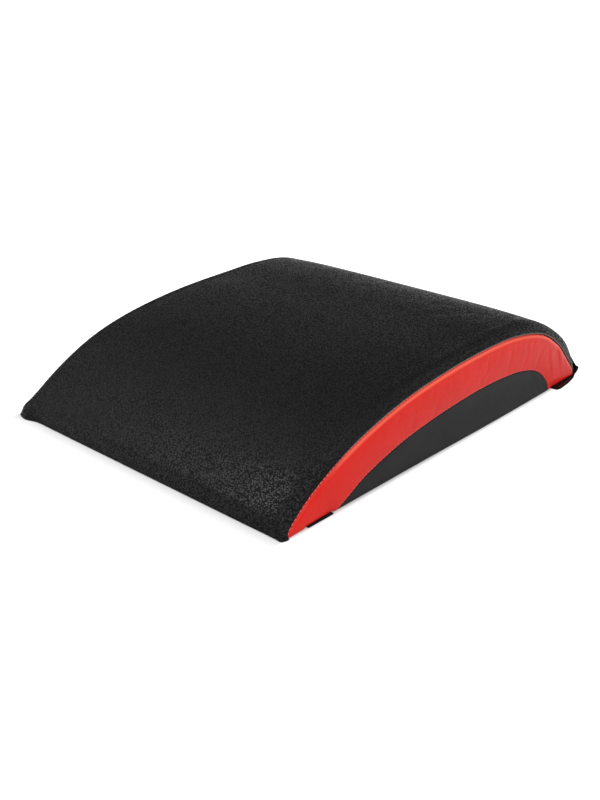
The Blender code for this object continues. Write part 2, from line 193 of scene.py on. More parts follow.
# Swelling of the stuffed panels, full where they are wide enough, and the unevenness of their cloth
BAND_FULL_WIDTH = 0.012
CRESCENT_FULL_HEIGHT = 0.008
PILLOW_POWERS = (0.5, 0.7)
BAND_SWELL = 0.0012
CRESCENT_SWELL = 0.0006
COVER_UNEVEN = 0.0003
BAND_UNEVEN = 0.0002
UNEVEN_STEPS = 6
UNEVEN_FADE = 0.004
CLOTH_FRAMES = 20
CLOTH_PRESSURE = 4.0
CLOTH_SLACK = 0.004
CLOTH_STIFFNESS = 15
CLOTH_BENDING = 0.5

# Stitches
STITCH_PITCH = 0.0036
STITCH_LENGTH = 0.0025
STITCH_RADIUS = 0.00030
STITCH_TAPER = 0.55
STITCH_RISE = 0.35
STITCH_DIP = 1.6
STITCH_INSET = 0.0009
CRESCENT_STITCH_INSET = 0.0008
STITCH_SUNK = 0.00034
STITCH_SUNK_RUN = (0.040, 0.075)
CRESCENT_STITCH_SUNK = 0.00018
FLAP_STITCH_RADIUS = 0.00022
FLAP_STITCH_INSET = 0.0022
FLAP_STITCH_START = 0.0015
NORMAL_STEP = 0.0004

# Hem, as (distance behind the depth, height), flap, with its overhang by shares of its length, and tapes
HEM_THICKNESS = 0.0012
HEM_HALF = HALF + 0.0012
HEM_PATH = ((0.0026, 0.0160), (0.0034, 0.0105), (0.0040, 0.0056), (0.0012, 0.0034), (-0.0040, 0.0021))
HEM_DROP = 0.0105
HEM_END_FALL = 0.0092
HEM_FALL_REACH = (DEPTH - 0.001, DEPTH + 0.002)
HEM_FALL_HEIGHT = (0.005, 0.0155)
HEM_FLARE_HEIGHT = 0.0060
FLAP_THICKNESS = 0.0010
SHEET_EDGE = 0.0002
TAPE_RIM = 0.00015
TAPE_RIM_REACH = 0.001
FLAP_PROUD = 0.0012
FLAP_OVERHANG = 0.0086
FLAP_OVERHANG_SHARES = ((0.0, 0.32), (0.14, 0.52), (0.5, 0.85), (0.9, 1.0), (0.97, 0.97), (1.0, 0.85))

# Grain of the top cover: pebbles with polished domes and rough creases between them
GRAIN_SCALE = 730.0
GRAIN_BEND = 0.0010
GRAIN_DOME = (0.28, 0.62)
GRAIN_HEIGHT = 0.00017
GRAIN_POLISH = (0.26, 0.31)
GRAIN_ROUGHNESS = 0.80
NOISE_RANGE = (0.3, 0.7)

# Colours, as the darker and the lighter one of each finish
GRAINED_BLACK = ((0.0005, 0.0005, 0.0005), (0.0075, 0.0075, 0.0079))
# Colour of the highlight painted along the black's fold at the seam
BLACK_HIGHLIGHT_PAINT = (0.20, 0.19, 0.18)
RED = ((0.53, 0.014, 0.009), (0.58, 0.016, 0.010))
# Colour of the highlight painted along the red band's rolled upper edge
RED_HIGHLIGHT_PAINT = (0.74, 0.11, 0.07)
SMOOTH_BLACK = ((0.011, 0.011, 0.0115), (0.015, 0.015, 0.016))
DEEP_BLACK = ((0.002, 0.002, 0.002), (0.004, 0.004, 0.004))
RED_THREAD = ((0.62, 0.10, 0.08), (0.84, 0.22, 0.18))
BLACK_THREAD = ((0.03, 0.03, 0.03), (0.07, 0.07, 0.07))
BASE_FABRIC = ((0.008, 0.008, 0.009), (0.024, 0.024, 0.025))
TAPE = ((0.006, 0.006, 0.006), (0.020, 0.020, 0.021))
FOAM = ((0.16, 0.16, 0.165), (0.34, 0.34, 0.35))

# Camera, as fitted to the photograph
EYE = Vector((0.5596, -0.6354, 0.3686))
AZIMUTH = math.radians(42.12)
ELEVATION = math.radians(23.94)
ROLL = math.radians(0.26)
LENS = 46.71
SENSOR = 36.0

# Floor, whose glow is held back near the mat's footprint so that a painted shadow lies round it on top of
# the real one, the sweep behind it, and the lamps by place, size and power
FLOOR_HALF = 6.0
FLOOR_ALBEDO = 0.46
FLOOR_GLOW = 0.80
# Width of the painted shadow round the mat, how much narrower it is at the sides, and how far it is
# shifted off the rear
FLOOR_PAINTED_SHADOW_REACH = 0.038
FLOOR_SIDE_WEIGHT = 6.0
FLOOR_REAR_START = 0.015
FLOOR_FAR_GLOW = 0.6
FLOOR_FAR_REACH = (0.20, 1.4)
SWEEP_TOP = 0.17
SWEEP_END = 0.36
SWEEP_SIDE_REACH = (0.0, 0.5)
SWEEP_SIDE_SHARE = 0.35
WORLD_STRENGTH = 0.08
AIM = (0, 0, 0.03)
LAMPS = {
    "key": ((-0.61, -0.86, 1.20), (0.70, 0.70), 28.0),
    "overhead": ((0.30, -0.15, 1.70), (1.4, 1.4), 6.0),
    "fill": ((1.25, -0.28, 0.90), (1.2, 1.2), 21.0),
    "back": ((0.84, 1.12, 0.90), (0.55, 0.35), 3.0),
}


def unit(vectors):
    """The vectors, each made 1 long."""
    return vectors / np.maximum(np.linalg.norm(vectors, axis=-1, keepdims=True), 1e-12)


def ease(values, start, end):
    """From 0 at the start to 1 at the end, with a smooth run between them."""
    share = np.clip((np.asarray(values, float) - start) / (end - start), 0, 1)
    return share * share * (3 - 2 * share)


def bell(values, middle, spread):
    """From 1 in the middle to nearly 0 at two spreads from it."""
    return np.exp(-(((values - middle) / spread) ** 2))


def running_mean(values, reach, **padding):
    """Each value's mean with its neighbours up to a number of steps away."""
    side = 2 * reach + 1
    return np.convolve(np.pad(values, reach, **padding), np.ones(side) / side, mode="valid")


def arc(centre, radius, start, end, count):
    """Points round a centre, with angles in degrees."""
    angles = np.radians(np.linspace(start, end, count))
    return np.array(centre) + radius * np.stack([np.cos(angles), np.sin(angles)], -1)


def smooth(points, steps=60):
    """A centripetal curve through the points, finely sampled."""
    points = np.array(points, float)
    chain = [2 * points[0] - points[1], *points, 2 * points[-1] - points[-2]]
    fine = []
    for a, b, c, d in zip(chain, chain[1:], chain[2:], chain[3:]):
        t1 = math.sqrt(np.linalg.norm(b - a))
        t2 = t1 + math.sqrt(np.linalg.norm(c - b))
        t3 = t2 + math.sqrt(np.linalg.norm(d - c))
        for t in np.linspace(t1, t2, steps, endpoint=False):
            ab = (a * (t1 - t) + b * t) / t1
            bc = (b * (t2 - t) + c * (t - t1)) / (t2 - t1)
            cd = (c * (t3 - t) + d * (t - t2)) / (t3 - t2)
            abc = (ab * (t2 - t) + bc * t) / t2
            bcd = (bc * (t3 - t) + cd * (t - t1)) / (t3 - t1)
            fine.append((abc * (t2 - t) + bcd * (t - t1)) / (t2 - t1))
    return np.array(fine + [points[-1]])


def reach_along(line):
    """The distance along a line at each of its points."""
    steps = np.linalg.norm(np.diff(line, axis=0), axis=1)
    return np.concatenate([[0], np.cumsum(steps)])


def at_reach(line, marks):
    """Points of a line at given distances along it."""
    reached = reach_along(line)
    return np.stack([np.interp(marks, reached, line[:, k]) for k in range(line.shape[1])], -1)


def even(line, count):
    """The line with a number of evenly spaced points."""
    return at_reach(line, np.linspace(0, reach_along(line)[-1], count))


def left_of(line):
    """Unit vectors to the left of a line in the side view."""
    along = unit(np.gradient(line, axis=0))
    return np.stack([-along[:, 1], along[:, 0]], -1)


def scaled(shares, front=0.0, rear=DEPTH):
    """Side-view points from shares of the way from front to rear and of the height."""
    return np.array([(front + y * (rear - front), z * HEIGHT) for y, z in shares])


def base_height(x, y):
    """Height of the underside: raised over the strip and the flap, and more over the fastening tapes."""
    over_strip = np.minimum(ease(y, STRIP_FRONT - GAP - RAMP, STRIP_FRONT - GAP),
                            1 - ease(y, STRIP_REAR + GAP, STRIP_REAR + GAP + RAMP))
    over_flap = ease(y, FLAP_EDGE - GAP - RAMP, FLAP_EDGE - GAP)
    outer = HALF - EDGE_ROUND
    over_tape = 1 - ease(np.abs(x), outer * RECESS_SHARE, outer)
    return STRIP_LIFT * over_strip + over_flap * (FLAP_LIFT + (TAPE_LIFT - FLAP_LIFT) * over_tape)


class Skin:
    """The outer skin by stations, given as shares of the top line from under the lip to the rear."""

    def __init__(self, marks):
        line, lip_reach = self.top_line()
        total = reach_along(line)[-1]
        self.reach = np.asarray(marks) * total
        self.top = at_reach(line, self.reach)
        self.seam = self.seam_points(line, lip_reach, total)
        self.count = len(self.top)
        front = ease(self.reach, 0, EDGE_TAPER_FRONT)
        rear = ease(total - self.reach, 0, EDGE_TAPER_REAR)
        self.round = EDGE_ROUND - (EDGE_ROUND - EDGE_ROUND_FRONT) * (1 - front)
        self.round -= (EDGE_ROUND - EDGE_ROUND_REAR) * (1 - rear)
        self.crown = CROWN * front * rear
        across = self.seam - self.top
        self.inward = unit(across)
        self.full = np.linalg.norm(across, axis=1) / (1 - math.cos(math.radians(SEAM_ANGLE)))

    def top_line(self):
        """The lip from its underside round its face, then the arch. Also how far along the lip ends."""
        radius = LIP_UNDER_RADIUS
        lower = arc((radius - LIP_FORWARD, radius), radius, 270, 180, 12)
        upper = arc((LIP_NOSE_RADIUS, LIP_NOSE_HEIGHT), LIP_NOSE_RADIUS, 180, 90 + LIP_SLOPE, 16)
        start = np.array([[radius + LIP_UNDER_REACH, 0.0]])
        lip = np.concatenate([start, lower, upper])
        arch = smooth([lip[-1], *scaled(ARCH_SHARES)])
        return np.concatenate([lip, arch[1:]]), reach_along(lip)[-1]

    def seam_points(self, line, lip_reach, total):
        """A seam point for each station: straight inwards on the arch, in even steps on the lip."""
        seam = smooth(scaled(SEAM_SHARES, SEAM_FRONT, SEAM_REAR), 160)
        along_seam = reach_along(seam)
        guides = np.linspace(lip_reach, total, 120)
        spots = at_reach(line, guides)
        ways = unit(np.gradient(spots, axis=0))
        nearest = [np.argmin(np.abs((seam - spot) @ way)) for spot, way in zip(spots, ways)]
        found = along_seam[nearest]
        found[-1] = along_seam[-1]
        soft = running_mean(found, 3, mode="reflect", reflect_type="odd")
        soft = np.concatenate([[0], np.maximum.accumulate(soft)])
        guides = np.concatenate([[0], guides])
        return at_reach(seam, np.interp(self.reach, guides, np.clip(soft, 0, along_seam[-1])))

    def across(self, places):
        """Points for places across the mat. From -1 to 1 they lie on the crowned top, and each degree over
        1 turns the rounded edge further towards the side."""
        places = np.asarray(places, float)
        turn = np.maximum(0, np.abs(places) - 1)[None, :]
        share = np.minimum(1, np.abs(places))[None, :]
        angle = np.radians(turn)
        deep = self.full[:, None] * (1 - np.cos(angle))
        deep = deep + self.crown[:, None] * share**4 * np.maximum(0, 1 - turn / SEAM_ANGLE)
        side = self.top[:, None] + self.inward[:, None] * deep[..., None]
        x = (HALF - self.round[:, None]) * share + self.round[:, None] * np.sin(angle)
        x = x + TUCK_OUT * tuck(x, side[..., 0], side[..., 1])
        return gathered(np.stack([np.sign(places)[None, :] * x, side[..., 0], side[..., 1]], -1))

    def beside(self, spots):
        """Points on the right side for side-view points, given by station and column."""
        deep = np.einsum("ijk,ik->ij", spots - self.top[:, None], self.inward)
        cosine = np.clip(1 - deep / self.full[:, None], 0, 1)
        x = HALF - self.round[:, None] * (1 - np.sqrt(1 - cosine**2))
        return gathered(np.stack([x, spots[..., 0], spots[..., 1]], -1))


def tuck(x, y, z):
    """Where the black leatherette is tucked under the tip of the band, from 0 to 1."""
    low = 1 - ease(z, 0, TUCK_HEIGHT)
    return low * (1 - ease(y, TUCK_LENGTH / 2, TUCK_LENGTH)) * ease(x, HALF - 2 * FOLD_SPREAD, HALF)


def gathered(points):
    """The corners of the lip pushed forwards, and the foot of each side outwards."""
    x, y, z = points[..., 0], points[..., 1], points[..., 2]
    near = 1 - ease(y, 0, EAR_LENGTH)
    forward = EAR_FORWARD * bell(x, -EAR_PLACE, EAR_SPREAD) * near**2
    folded = 1 - ease(y, 0, FOLD_LENGTH)
    forward = forward + FOLD_FORWARD * bell(x, FOLD_PLACE, FOLD_SPREAD) * folded
    bulge = bell(y, FOOT_BULGE_PLACE, FOOT_BULGE_SPREAD)
    low = (1 - ease(z, 0, FOOT_HEIGHT)) * ease(np.abs(x), HALF - EDGE_ROUND, HALF)
    front = FOOT_OUT_FRONT * (1 - ease(y, 0, FOOT_FRONT_LENGTH))
    outward = (FOOT_OUT + front + FOOT_BULGE * bulge) * low
    outward = outward + FOLD_OUT * folded * ease(x, HALF - 2 * FOLD_SPREAD, HALF)
    return np.stack([x + np.sign(x) * outward, y - forward, z], -1)


def normals_of(grid):
    """Unit normals of a grid, out of the skin where rows run rearwards and columns to the right."""
    a, b = grid[:-1, :-1], grid[1:, 1:]
    faces = np.cross(grid[:-1, 1:] - grid[1:, :-1], b - a)
    total = np.zeros_like(grid)
    for rows in (slice(None, -1), slice(1, None)):
        for columns in (slice(None, -1), slice(1, None)):
            total[rows, columns] += faces
    return unit(total)


def facing_right(normals):
    """The normals, turned round where they point to the left."""
    return np.where(normals[..., :1] < 0, -normals, normals)


def mirrored(points, sign):
    """Points of the right side, or of the left side where the sign is negative."""
    return points * np.array([sign, 1, 1])


def roll(distance, reach, depth=None):
    """How deep a rolled edge lies at a distance from its seam: a quarter of an ellipse, or of a circle."""
    near = np.clip(1 - np.asarray(distance, float) / reach, 0, 1)
    return (depth or reach) * (1 - np.sqrt(1 - near**2))


def finer(values, rows, columns):
    """A grid of values read between its own rows and columns, at shares of its length and width."""
    return weights(len(values), rows) @ values @ weights(values.shape[1], columns).T


def weights(count, shares):
    """Weights of a cubic curve through evenly spaced values, for shares of the way from first to last."""
    places = np.clip(shares * (count - 1), 0, count - 1)
    table = np.zeros((len(places), count))
    for row, place in enumerate(places):
        start = min(int(place), count - 2)
        t = place - start
        curve = ((-t + 2 * t**2 - t**3) / 2, (2 - 5 * t**2 + 3 * t**3) / 2,
                 (t + 4 * t**2 - 3 * t**3) / 2, (t**3 - t**2) / 2)
        for step, weight in zip((-1, 0, 1, 2), curve):
            table[row, min(max(start + step, 0), count - 1)] += weight
    return table


def grid_faces(rows, columns, start=0):
    """Faces between the rows and columns of a grid of points."""
    faces = []
    for i in range(rows - 1):
        for j in range(columns - 1):
            a = start + i * columns + j
            faces.append((a, a + columns, a + columns + 1, a + 1))
    return faces


def to_frame(points):
    """Points counted from the front edge, moved to their place in the frame."""
    return np.asarray(points).reshape(-1, 3) + np.array([0, FRONT, 0])


def new_piece(name, points, faces, body, material, replaced, painted_highlight=None):
    """A smooth mesh that rides on a body, takes its finish from a slot and stands for CAD nodes. Where it
    is given, the last argument says how strongly a highlight is painted into each point's colour."""
    mesh = bpy.data.meshes.new(name)
    mesh.from_pydata([tuple(p) for p in to_frame(points)], [], faces)
    if painted_highlight is not None:
        highlight_paint = mesh.attributes.new("painted_highlight", "FLOAT", "POINT").data
        highlight_paint.foreach_set("value", np.asarray(painted_highlight, np.float32).ravel())
    shape = bmesh.new()
    shape.from_mesh(mesh)
    bmesh.ops.remove_doubles(shape, verts=shape.verts, dist=1e-6)
    bmesh.ops.recalc_face_normals(shape, faces=shape.faces)
    shape.to_mesh(mesh)
    shape.free()
    mesh.shade_smooth()
    mesh.materials.append(material)
    item = bpy.data.objects.new(name, mesh)
    bpy.context.scene.collection.objects.link(item)
    if body:
        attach(item, body)
    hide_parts(*replaced)
    return item


def closed(outer, inner):
    """Points and faces of the closed body between two grids of the same size."""
    rows, columns = outer.shape[:2]
    under = rows * columns
    faces = grid_faces(rows, columns) + [tuple(reversed(f)) for f in grid_faces(rows, columns, under)]
    rim = list(range(columns))
    rim += [i * columns + columns - 1 for i in range(1, rows)]
    rim += [(rows - 1) * columns + j for j in range(columns - 2, -1, -1)]
    rim += [i * columns for i in range(rows - 2, 0, -1)]
    for a, b in zip(rim, rim[1:] + rim[:1]):
        faces.append((a, b, b + under, a + under))
    return np.concatenate([outer.reshape(-1, 3), inner.reshape(-1, 3)]), faces


def pillow(shape, cap):
    """A full form over a sewn-down panel, highest in its middle."""
    u, v = (np.clip(np.sin(np.linspace(0, math.pi, count)), 0, 1) for count in shape)
    return cap * u[:, None] ** PILLOW_POWERS[0] * v[None, :] ** PILLOW_POWERS[1]


def unevenness(grid, cap):
    """How much higher or lower than its surroundings each point of a sewn-down panel stands, from a
    simulation of its cloth under pressure."""
    out = np.maximum(blown_up(grid), 0)
    out = out - broad_mean(out)
    return cap * np.tanh(out / cap) * pillow(grid.shape[:2], 1)


def broad_mean(values):
    """Each value's mean over a wide square around it."""
    reach = UNEVEN_STEPS
    padded = np.pad(values, reach, mode="edge")
    sums = np.cumsum(np.cumsum(np.pad(padded, ((1, 0), (1, 0))), axis=0), axis=1)
    side = 2 * reach + 1
    total = sums[side:, side:] - sums[:-side, side:] - sums[side:, :-side] + sums[:-side, :-side]
    return total / side**2


def blown_up(grid):
    """How far each point of a panel that is sewn down along its border moves outwards under pressure."""
    rows, columns = grid.shape[:2]
    mesh = bpy.data.meshes.new("panel_cloth")
    mesh.from_pydata([tuple(p) for p in grid.reshape(-1, 3)], [], grid_faces(rows, columns))
    mesh.flip_normals()
    panel = bpy.data.objects.new("panel_cloth", mesh)
    bpy.context.scene.collection.objects.link(panel)
    sewn = panel.vertex_groups.new(name="sewn")
    index = np.arange(rows * columns).reshape(rows, columns)
    border = np.concatenate([index[0], index[-1], index[:, 0], index[:, -1]])
    sewn.add([int(i) for i in np.unique(border)], 1.0, "REPLACE")
    cloth = panel.modifiers.new("Cloth", "CLOTH")
    cloth.settings.effector_weights.gravity = 0
    cloth.settings.vertex_group_mass = "sewn"
    cloth.settings.use_pressure = True
    cloth.settings.uniform_pressure_force = CLOTH_PRESSURE
    cloth.settings.shrink_min = -CLOTH_SLACK
    cloth.settings.tension_stiffness = CLOTH_STIFFNESS
    cloth.settings.compression_stiffness = CLOTH_STIFFNESS
    cloth.settings.bending_stiffness = CLOTH_BENDING
    cloth.collision_settings.use_collision = False
    for step in range(1, CLOTH_FRAMES + 1):
        bpy.context.scene.frame_set(step)
    shaped = panel.evaluated_get(bpy.context.evaluated_depsgraph_get())
    moved = np.array([v.co for v in shaped.data.vertices]).reshape(grid.shape) - grid
    bpy.context.scene.frame_set(1)
    bpy.data.objects.remove(panel)
    return np.einsum("ijk,ijk->ij", moved, normals_of(grid))


def lip_marks():
    """Stations as shares of the top line, close together round the lip and at the rear turn."""
    near = np.linspace(0, 0.075, 56)
    middle = np.linspace(0.075, 0.94, 190)
    rear = np.linspace(0.94, 1, 26)
    return np.concatenate([near, middle[1:], rear[1:]])


def edge_turns():
    """Degrees of the rounded edge, close together towards the seam."""
    millimetre = math.degrees(0.001 / EDGE_ROUND)
    close = np.array([0, 0.12, 0.28, 0.5, 0.75, 1.0, 1.4, 2.0, 3.0]) * millimetre
    return np.concatenate([np.linspace(0, SEAM_ANGLE - close[-1], 16)[1:-1], SEAM_ANGLE - close[::-1]])


def places_across(count, turns):
    """Even places on the crowned top, with degrees of the rounded edge beyond them on both sides."""
    return np.concatenate([-1 - turns[::-1], np.linspace(-1, 1, count), 1 + turns])


def make_cover(skin, material):
    """The grained top cover, with rolled edges that turn in at the side seams."""
    places = places_across(109, edge_turns())
    grid = skin.across(places)
    coarse = places_across(61, np.linspace(12, SEAM_ANGLE, 5))
    uneven = unevenness(Skin(np.linspace(0, 1, 96)).across(coarse), COVER_UNEVEN)
    shares = np.interp(places, coarse, np.linspace(0, 1, len(coarse)))
    lift = finer(uneven, skin.reach / skin.reach[-1], shares)
    normals = normals_of(grid)
    edge = np.minimum(*reach_across(grid))
    fade = ease(edge, 0, UNEVEN_FADE)
    grid = grid + normals * (lift * fade - roll(edge, BLACK_ROLL))[..., None]
    outer = with_allowance(grid, normals)
    inner = outer - normals_of(outer) * SHELL
    inner[:, :2] = outer[:, :2] + (inner[:, 2:3] - outer[:, 2:3])
    inner[:, -2:] = outer[:, -2:] + (inner[:, -3:-2] - outer[:, -3:-2])
    for side in (outer, inner):
        side[..., 2] = np.maximum(side[..., 2], 0)
    points, faces = closed(outer, inner)
    # A light line is painted into the cover's colour along its rolled edges at the seams, as the highlight
    # on the fold
    highlight_paint = np.zeros((2,) + outer.shape[:2])
    highlight_line = bell(edge, BLACK_HIGHLIGHT_INSET, BLACK_HIGHLIGHT_SPREAD)
    highlight_paint[0, :, 1:-1] = highlight_line * ease(grid[..., 1], *BLACK_HIGHLIGHT_RUN)
    item = new_piece("cover_top", points, faces, "mat", material, ["top_cover"], highlight_paint)


def reach_across(grid):
    """The distance along each row from its first point, then from its last one."""
    steps = np.linalg.norm(np.diff(grid, axis=1), axis=2)
    start = np.zeros((len(grid), 1))
    back = np.concatenate([start, np.cumsum(steps[:, ::-1], axis=1)], axis=1)[:, ::-1]
    return np.concatenate([start, np.cumsum(steps, axis=1)], axis=1), back


def with_allowance(grid, normals):
    """The grid with a turned-in seam allowance beyond its first and last columns."""
    first = grid[:, :1] - normals[:, :1] * (SEAM_DEPTH - BLACK_ROLL)
    last = grid[:, -1:] - normals[:, -1:] * (SEAM_DEPTH - BLACK_ROLL)
    return np.concatenate([first, grid, last], axis=1)


def band_feet(skin):
    """The band's lower end at each station: the underside, the crescent's seam, then the underside again.
    Also the seam alone, and the stations where it starts and ends."""
    ys = skin.seam[:, 0]
    front, rear = (int(np.argmin(np.abs(ys - share * DEPTH))) for share in BAND_SPLIT_SHARES)
    arch = even(smooth(scaled(CRESCENT_SHARES, CRESCENT_FRONT, CRESCENT_REAR)), rear - front + 1)
    arch[:, 1] = np.maximum(arch[:, 1], base_height(HALF, arch[:, 0]))
    before = np.linspace(skin.seam[0, 0] + SHELL, arch[0, 0], front + 1)[:-1]
    after = np.linspace(arch[-1, 0], skin.seam[-1, 0] - GAP, skin.count - rear)[1:]
    feet = [np.stack([y, base_height(HALF, y) + GAP], -1) for y in (before, after)]
    return np.concatenate([feet[0], arch, feet[1]]), arch, (front, rear)


def band_marks():
    """Shares down the band, close together at both edges."""
    close = np.array([0, 0.004, 0.010, 0.018, 0.028, 0.040, 0.056, 0.08, 0.12])
    return np.concatenate([close, np.linspace(0.17, 0.83, 14), 1 - close[::-1]])


def band_grid(skin, feet, marks):
    """Columns from the cover's seam down to the band's feet."""
    start = skin.seam + skin.inward * SEAM_HALF_GAP
    spots = start[:, None] + (feet - start)[:, None] * np.asarray(marks)[None, :, None]
    return skin.beside(spots)


def shoulder_wrinkles(points):
    """Soft upright folds in the band below the rear shoulder."""
    y, z = points[..., 1], points[..., 2]
    lean = y + WRINKLE_LEAN * z
    room = bell(y, WRINKLE_PLACE[0], WRINKLE_SPREAD[0]) * bell(z, WRINKLE_PLACE[1], WRINKLE_SPREAD[1])
    wide, narrow = (np.sin(2 * math.pi * lean / pitch + start) for pitch, start in WRINKLE_WAVES)
    return WRINKLE_DEPTH * room * (wide + narrow / 2)


def make_band(skin, hand, sign, swell, material):
    """A red side band between the cover's seam and the underside or the crescent."""
    feet, _, (front, rear) = band_feet(skin)
    marks = band_marks()
    grid = band_grid(skin, feet, marks)
    normals = facing_right(normals_of(grid[:, ::-1])[:, ::-1])
    lift = finer(swell, skin.reach / skin.reach[-1], marks)
    upper, lower = reach_across(grid)
    fit = np.clip(upper[:, -1:] / BAND_FULL_WIDTH, 0, 1)
    lift = lift * fit + shoulder_wrinkles(grid)
    station = np.arange(skin.count)[:, None]
    on_arch = (station >= front) & (station <= rear)
    lower_roll = np.where(on_arch, roll(lower, CRESCENT_ROLL), roll(lower, FOOT_ROLL))
    depth = roll(upper, RED_ROLL_REACH, RED_ROLL) * fit + lower_roll * fit
    grid = grid + normals * (lift - depth)[..., None]
    first = grid[:, :1] - normals[:, :1] * (SEAM_DEPTH - RED_ROLL) * fit[..., None]
    outer = np.concatenate([first, grid], axis=1)
    backs = np.concatenate([normals[:, :1], normals], axis=1)
    inner = outer - backs * SHELL * fit[..., None]
    points, faces = closed(mirrored(outer, sign), mirrored(inner, sign))
    # A lighter band is painted into the band's colour along its rolled upper edge, as a highlight
    highlight_line = bell(upper, RED_HIGHLIGHT_INSET, RED_HIGHLIGHT_SPREAD)
    highlight_paint = np.zeros((2,) + outer.shape[:2])
    highlight_paint[0, :, 1:] = highlight_line * ease(grid[..., 1], *RED_HIGHLIGHT_RUN)
    name = f"band_{hand}"
    item = new_piece(name, points, faces, "mat", material, [f"red_band_{hand}"], highlight_paint)


def band_swell():
    """The band's swelling on a coarse grid, for both sides."""
    skin = Skin(np.linspace(0, 1, 121))
    grid = band_grid(skin, band_feet(skin)[0], np.linspace(0, 1, 11))
    return pillow(grid.shape[:2], BAND_SWELL) + unevenness(grid, BAND_UNEVEN)


def crescent_grid(arch, marks):
    """Columns from the crescent's seam down to the underside."""
    inner = arch - left_of(arch) * SEAM_HALF_GAP
    floor = np.stack([inner[:, 0], base_height(HALF, inner[:, 0]) + GAP], -1)
    inner = np.maximum(inner, floor)
    spots = inner[:, None] + (floor - inner)[:, None] * np.asarray(marks)[None, :, None]
    return gathered(np.concatenate([np.full(spots.shape[:2] + (1,), HALF), spots], -1))


def crescent_swell(arch):
    """The crescent's swelling on a coarse grid, for both sides."""
    grid = crescent_grid(even(arch, 81), np.linspace(0, 1, 11))
    return pillow(grid.shape[:2], CRESCENT_SWELL) + unevenness(grid, BAND_UNEVEN)


def make_crescent(arch, hand, sign, swell, material):
    """The smooth black panel let into the band."""
    marks = np.concatenate([np.linspace(0, 0.12, 10), np.linspace(0.17, 1, 20)])
    grid = crescent_grid(arch, marks)
    lift = finer(swell, np.linspace(0, 1, len(arch)), marks)
    height = reach_across(grid)[0][:, -1:]
    edge = nearest_distance(grid[..., 1:], arch)
    fit = np.clip(height / CRESCENT_FULL_HEIGHT, 0, 1)
    slant = grid[..., 1] * CREASE_WAY[0] + grid[..., 2] * CREASE_WAY[1]
    creases = np.sin(slant * 2 * math.pi / CREASE_PITCH) * bell(grid[..., 1], CREASE_PLACE, CREASE_SPREAD)
    lift = lift * fit + CREASE_DEPTH * creases * fit
    depth = roll(edge, CRESCENT_ROLL)
    outer = grid + np.array([1, 0, 0]) * (lift - depth)[..., None]
    inner = outer - np.array([SHELL, 0, 0])
    points, faces = closed(mirrored(outer, sign), mirrored(inner, sign))
    name = f"crescent_{hand}"
    item = new_piece(name, points, faces, "mat", material, [f"side_crescent_{hand}"])


def nearest_distance(spots, line):
    """The distance from side-view points to a line."""
    flat = spots.reshape(-1, 2)
    best = np.full(len(flat), np.inf)
    for a, b in zip(line[:-1], line[1:]):
        step = b - a
        share = np.clip(((flat - a) @ step) / max(step @ step, 1e-18), 0, 1)
        best = np.minimum(best, np.linalg.norm(flat - a - share[:, None] * step, axis=1))
    return best.reshape(spots.shape[:-1])


def stitches(name, path, outwards, body, material, replaced, radius=STITCH_RADIUS):
    """A row of separate stitches along a path, each dipping into the leatherette at both ends."""
    reached = reach_along(path)
    count = max(1, int(reached[-1] / STITCH_PITCH))
    sides, rings = 8, 7
    points, faces = [], []
    for n in range(count):
        middle = (n + 0.5) * reached[-1] / count
        marks = middle + np.linspace(-0.5, 0.5, rings) * STITCH_LENGTH
        line = at_reach(path, np.clip(marks, 0, reached[-1]))
        out = unit(np.stack([np.interp(marks, reached, outwards[:, k]) for k in range(3)], -1))
        along = unit(np.gradient(line, axis=0))
        cross = unit(np.cross(out, along))
        share = np.abs(np.linspace(-1, 1, rings))
        start = len(points)
        for k in range(rings):
            size = radius * (1 - STITCH_TAPER * share[k] ** 3)
            centre = line[k] + out[k] * (radius * STITCH_RISE - radius * STITCH_DIP * share[k] ** 2.5)
            for turn in np.linspace(0, 2 * math.pi, sides, endpoint=False):
                points.append(centre + size * (math.cos(turn) * cross[k] + math.sin(turn) * out[k]))
        for k in range(rings - 1):
            for s in range(sides):
                a, b = start + k * sides + s, start + k * sides + (s + 1) % sides
                faces.append((a, b, b + sides, a + sides))
        faces.append(tuple(reversed(range(start, start + sides))))
        faces.append(tuple(range(start + (rings - 1) * sides, start + rings * sides)))
    new_piece(name, points, faces, body, material, replaced)


def make_side_stitches(skin, hand, sign, material):
    """Stitches on the red side of both seams."""
    feet, arch, _ = band_feet(skin)
    wide = np.linalg.norm(feet - skin.seam, axis=1) > 4 * STITCH_INSET
    way = unit(feet - skin.seam)
    inset = skin.seam + way * STITCH_INSET
    trio = skin.beside(np.stack([inset - way * NORMAL_STEP, inset, inset + way * NORMAL_STEP], 1))
    normals = facing_right(normals_of(trio)[:, 1])
    sunk = roll(STITCH_INSET, RED_ROLL_REACH, RED_ROLL) + STITCH_SUNK * ease(inset[:, 0], *STITCH_SUNK_RUN)
    path = (trio[:, 1] - normals * sunk[:, None])[wide]
    stitches(f"seam_stitches_{hand}", mirrored(path, sign), mirrored(normals[wide], sign), "mat",
             material, [f"top_seam_thread_{hand}"])
    line = even(arch, 200)
    line = line + left_of(line) * CRESCENT_STITCH_INSET
    line = line[line[:, 1] > base_height(HALF, line[:, 0]) + CRESCENT_STITCH_INSET]
    path = gathered(np.concatenate([np.full((len(line), 1), HALF - CRESCENT_STITCH_SUNK), line], axis=1))
    out = np.tile([1.0, 0, 0], (len(line), 1))
    stitches(f"crescent_stitches_{hand}", mirrored(path, sign), mirrored(out, sign), "mat",
             material, [f"crescent_seam_thread_{hand}"])


